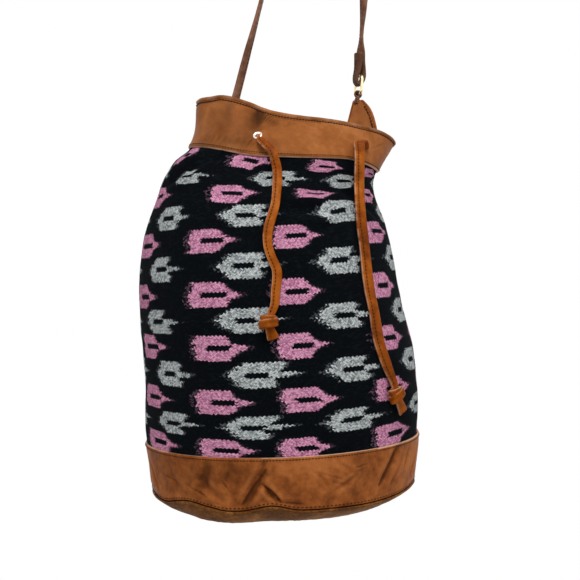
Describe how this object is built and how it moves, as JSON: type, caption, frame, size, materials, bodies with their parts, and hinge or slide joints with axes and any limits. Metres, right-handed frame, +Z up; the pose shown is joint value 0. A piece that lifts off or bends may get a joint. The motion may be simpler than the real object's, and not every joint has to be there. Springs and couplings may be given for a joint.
{
  "type": "drawstring bucket bag",
  "caption": "Bucket bag of ikat cloth with a leather collar and base, closed by a knotted leather drawstring and hung by a shoulder strap that ends in a metal ring.",
  "frame": {"origin": "on top of the peg that the strap hangs from, under the bend of the strap", "axes": "+Z up, -Y towards the front with the knotted ends, +X to the viewer's right"},
  "size_m": [0.2281, 0.2211, 0.7001],
  "materials": {
    "leather": "tan, waxed and creased",
    "ikat": "woven pink and grey ikat on black",
    "lining": "plain brown cotton",
    "lace": "orange tan, folded and stitched",
    "strap": "dark tan, folded and stitched",
    "eyelets": "pale gold plate",
    "ring": "pale gold plate"
  },
  "bodies": {
    "bag": {"base": "leather", "base_band": "leather", "body": "ikat", "collar": "leather", "lining": "lining", "rim_binding": "leather", "eyelet_front_left": "eyelets", "eyelet_front_right": "eyelets", "eyelet_back_right": "eyelets", "eyelet_back_left": "eyelets", "drawstring": "lace", "strap_tab": "leather", "tab_loop": "lace", "shoulder_strap": "strap"},
    "ring": {"strap_ring": "ring"}
  },
  "joints": [
    {"name": "ring_swing", "type": "hinge", "parent": "bag", "child": "ring", "pos_m": [0.02196, 0.01066, -0.33677], "axis": [0.17, 0.9854, 0], "range_deg": [-18, 18], "deforming": ["tab_loop"]}
  ]
}
